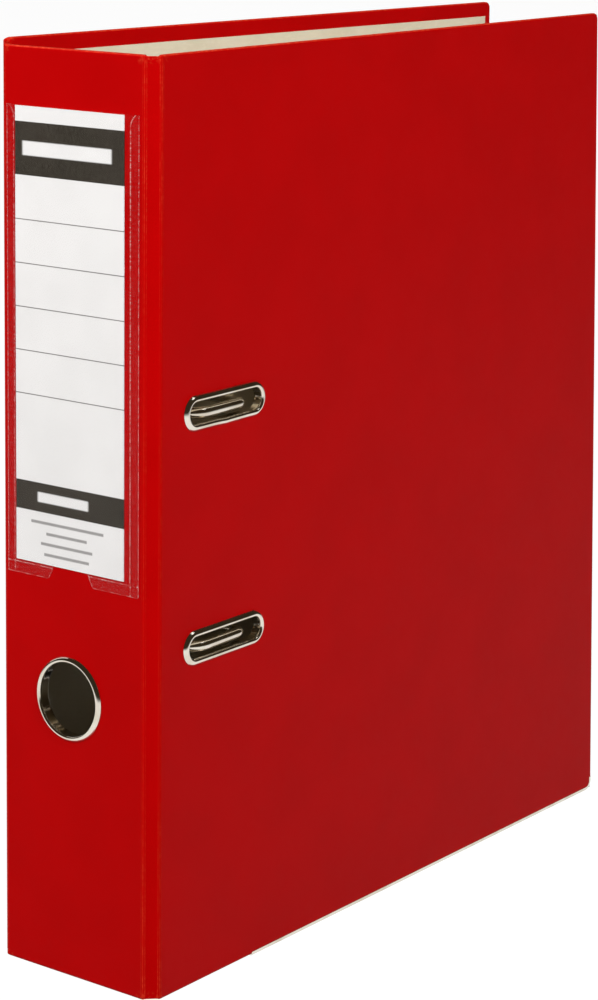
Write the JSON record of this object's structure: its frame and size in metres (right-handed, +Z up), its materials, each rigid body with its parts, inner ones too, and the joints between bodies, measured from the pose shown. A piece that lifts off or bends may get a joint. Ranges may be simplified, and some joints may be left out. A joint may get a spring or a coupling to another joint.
{
  "type": "lever arch file",
  "caption": "Upright office lever arch file: board case with hinged covers, slotted eyelets, a finger ring and label pocket on the spine, and a lever arch mechanism inside.",
  "frame": {"origin": "bottom centre of the closed file, between the steel edge rails it stands on", "axes": "+Z up the spine, +Y from the spine to the fore-edge, +X from the back cover to the front cover"},
  "size_m": [0.0719, 0.2864, 0.32],
  "materials": {
    "film": "satin red covering film with a fine linen grain",
    "board": "grey board",
    "lining": "matt cream paper",
    "nickel": "bright nickel plate",
    "steel": "zinc plate",
    "pocket": "clear film",
    "label": "printed card",
    "nylon": "moulded"
  },
  "bodies": {
    "back_cover": {"back_film": "film", "back_board": "board", "back_lining": "lining", "back_edge_rail": "nickel", "base_plate": "steel", "upper_post": "nickel", "lower_post": "nickel", "lever_pin": "steel", "rivet_1": "nickel", "rivet_2": "nickel", "rivet_3": "nickel", "rivet_4": "nickel"},
    "back_hinge": {"back_hinge_strip": "film"},
    "spine": {"spine_film": "film", "spine_board": "board", "spine_lining": "lining", "finger_ring": "nickel", "finger_ring_washer": "nickel", "label_card": "label", "label_pocket": "pocket"},
    "front_hinge": {"front_hinge_strip": "film"},
    "front_cover": {"front_film": "film", "front_board": "board", "front_lining": "lining", "front_edge_rail": "nickel", "lower_slot_eyelet": "nickel", "upper_slot_eyelet": "nickel"},
    "arches": {"arch_wire": "nickel"},
    "lever": {"lever": "nickel", "roller_pin": "steel"},
    "roller": {"roller": "nylon"},
    "compressor": {"compressor_bar": "nickel", "catch_pin": "steel"},
    "catch": {"compressor_catch": "steel"}
  },
  "joints": [
    {"name": "back_cover_fold", "type": "hinge", "parent": "back_cover", "child": "back_hinge", "pos_m": [-0.0359, -0.13775, 0.159], "axis": [0, 0, -1], "range_deg": [0, 45]},
    {"name": "spine_fold", "type": "hinge", "parent": "back_hinge", "child": "spine", "pos_m": [-0.0318, -0.14185, 0.159], "axis": [0, 0, -1], "range_deg": [0, 45]},
    {"name": "front_spine_fold", "type": "hinge", "parent": "spine", "child": "front_hinge", "pos_m": [0.0312, -0.14185, 0.159], "axis": [0, 0, -1], "range_deg": [0, 90]},
    {"name": "front_cover_fold", "type": "hinge", "parent": "front_hinge", "child": "front_cover", "pos_m": [0.0353, -0.13775, 0.159], "axis": [0, 0, -1], "range_deg": [0, 90]},
    {"name": "arch_swing", "type": "hinge", "parent": "back_cover", "child": "arches", "pos_m": [-0.02975, -0.12785, 0.1572], "axis": [0, 0, -1], "range_deg": [0, 45]},
    {"name": "lever_lift", "type": "hinge", "parent": "back_cover", "child": "lever", "pos_m": [-0.0166, -0.11785, 0.1792], "axis": [0, -1, 0], "range_deg": [0, 90]},
    {"name": "roller_spin", "type": "hinge", "parent": "lever", "child": "roller", "pos_m": [-0.0244, -0.11785, 0.1714], "axis": [0, 1, 0], "continuous": true},
    {"name": "compressor_slide", "type": "slide", "parent": "back_cover", "child": "compressor", "axis": [1, 0, 0], "range_m": [0, 0.03]},
    {"name": "catch_tilt", "type": "hinge", "parent": "compressor", "child": "catch", "pos_m": [-0.02545, -0.08985, 0.1237], "axis": [0, -1, 0], "range_deg": [0, 12], "stiffness_Nm_per_rad": 0.02}
  ],
  "couplings": [
    {"joint": "spine_fold", "follows": "back_cover_fold", "ratio": 1},
    {"joint": "arch_swing", "follows": "back_cover_fold", "ratio": 1},
    {"joint": "lever_lift", "follows": "back_cover_fold", "ratio": 2},
    {"joint": "front_cover_fold", "follows": "front_spine_fold", "ratio": 1}
  ]
}
